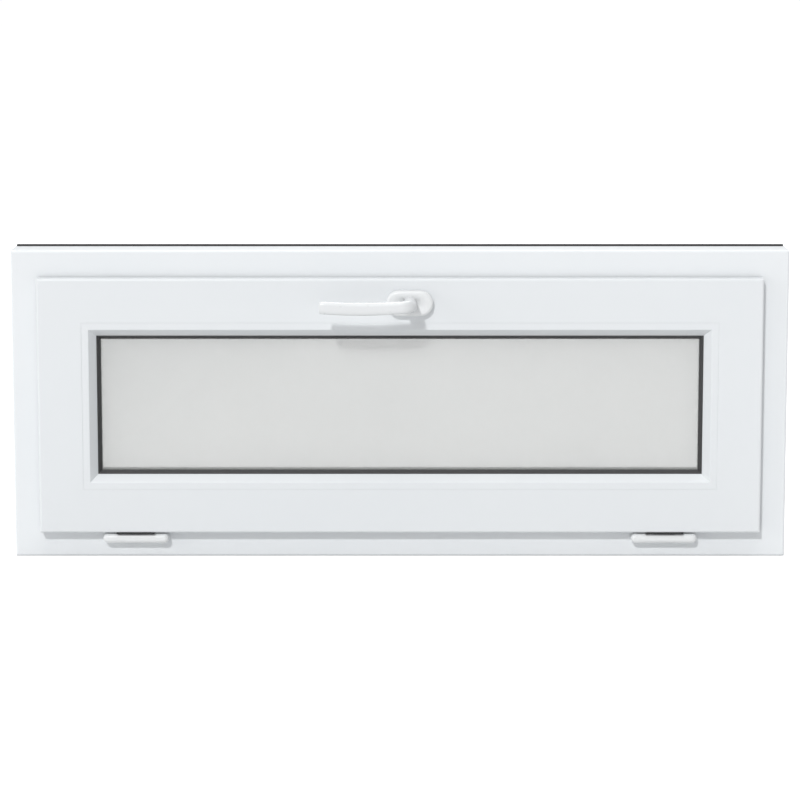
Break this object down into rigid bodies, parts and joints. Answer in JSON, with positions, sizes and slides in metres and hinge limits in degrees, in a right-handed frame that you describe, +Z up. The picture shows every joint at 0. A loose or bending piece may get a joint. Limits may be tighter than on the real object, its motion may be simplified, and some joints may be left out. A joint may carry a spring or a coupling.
{
  "type": "tilt window",
  "caption": "Low, wide white PVC window: bottom-hinged tilting sash with a central lever handle, round hinge covers, side stays and a sealed glass unit.",
  "frame": {"origin": "middle of the underside of the outer frame, halfway between its room face and its outside face", "axes": "+X to the right seen from the room, +Y to the outside, +Z up; the room and the handle are on the -Y side"},
  "size_m": [1, 0.133, 0.4023],
  "materials": {
    "white_pvc": "smooth white PVC with a soft satin sheen",
    "steel": "galvanised steel",
    "zinc_hardware": "zinc-plated steel",
    "black_rubber": "matt black EPDM",
    "black_metal": "black coated steel",
    "white_metal": "white powder coat",
    "white_plastic": "white nylon",
    "clear_glass": "clear float glass",
    "spacer_aluminium": "mill finish aluminium",
    "sealant": "grey-black polysulphide",
    "block_plastic": "grey polypropylene",
    "screw_steel": "zinc-plated screws"
  },
  "bodies": {
    "frame": {"frame_sill": "white_pvc", "frame_head": "white_pvc", "frame_jamb_left": "white_pvc", "frame_jamb_right": "white_pvc", "frame_steels": "steel", "sealing_strip": "black_rubber", "frame_gasket": "black_rubber", "hinge_bracket_left": "black_metal", "hinge_bracket_right": "black_metal", "hinge_cover_left": "white_plastic", "hinge_cover_right": "white_plastic", "hinge_pin_left": "zinc_hardware", "hinge_pin_right": "zinc_hardware", "hinge_bracket_screws": "screw_steel", "keeps": "zinc_hardware", "keep_screws": "screw_steel", "stay_bracket_left": "zinc_hardware", "stay_bracket_right": "zinc_hardware", "stay_pivot_pin_left": "zinc_hardware", "stay_pivot_pin_right": "zinc_hardware", "stay_bracket_screws": "screw_steel"},
    "sash": {"bead_bottom": "white_pvc", "bead_left": "white_pvc", "bead_right": "white_pvc", "bead_top": "white_pvc", "faceplate": "zinc_hardware", "faceplate_screws": "screw_steel", "gear_case": "zinc_hardware", "glass_outside_pane": "clear_glass", "glass_room_pane": "clear_glass", "glass_sealant": "sealant", "glass_spacer": "spacer_aluminium", "glazing_blocks": "block_plastic", "glazing_gasket_outside": "black_rubber", "glazing_gasket_room": "black_rubber", "hinge_leaf_left": "black_metal", "hinge_leaf_right": "black_metal", "hinge_leaf_screws": "screw_steel", "rosette_base": "zinc_hardware", "rosette_cap": "white_plastic", "rosette_screws": "screw_steel", "sash_bottom_rail": "white_pvc", "sash_gasket": "black_rubber", "sash_steels": "steel", "sash_stile_left": "white_pvc", "sash_stile_right": "white_pvc", "sash_top_rail": "white_pvc", "stay_rail_left": "zinc_hardware", "stay_rail_right": "zinc_hardware", "stay_rail_screws": "screw_steel"},
    "handle": {"handle_lever": "white_metal", "handle_spindle": "zinc_hardware", "gear_pinion": "zinc_hardware"},
    "drive_rod": {"drive_rod": "zinc_hardware", "locking_cams": "zinc_hardware"},
    "stay_left": {"stay_arm_left": "zinc_hardware", "stay_slider_left": "zinc_hardware"},
    "stay_right": {"stay_arm_right": "zinc_hardware", "stay_slider_right": "zinc_hardware"}
  },
  "joints": [
    {"name": "sash_tilt", "type": "hinge", "parent": "frame", "child": "sash", "pos_m": [0, -0.039, 0.0258], "axis": [1, 0, 0], "range_deg": [0, 28]},
    {"name": "handle_turn", "type": "hinge", "parent": "sash", "child": "handle", "pos_m": [0.0125, -0.048, 0.3345], "axis": [0, -1, 0], "range_deg": [0, 90]},
    {"name": "rod_slide", "type": "slide", "parent": "sash", "child": "drive_rod", "axis": [-1, 0, 0], "range_m": [0, 0.0119]},
    {"name": "stay_left_swing", "type": "hinge", "parent": "frame", "child": "stay_left", "pos_m": [-0.4555, -0.02, 0.1549], "axis": [1, 0, 0], "range_deg": [0, 56]},
    {"name": "stay_right_swing", "type": "hinge", "parent": "frame", "child": "stay_right", "pos_m": [0.4555, -0.02, 0.1549], "axis": [1, 0, 0], "range_deg": [0, 56]}
  ],
  "couplings": [
    {"joint": "rod_slide", "follows": "handle_turn", "m_per_rad": 0.0075},
    {"joint": "stay_left_swing", "follows": "sash_tilt", "ratio": 1.968},
    {"joint": "stay_right_swing", "follows": "sash_tilt", "ratio": 1.968}
  ]
}
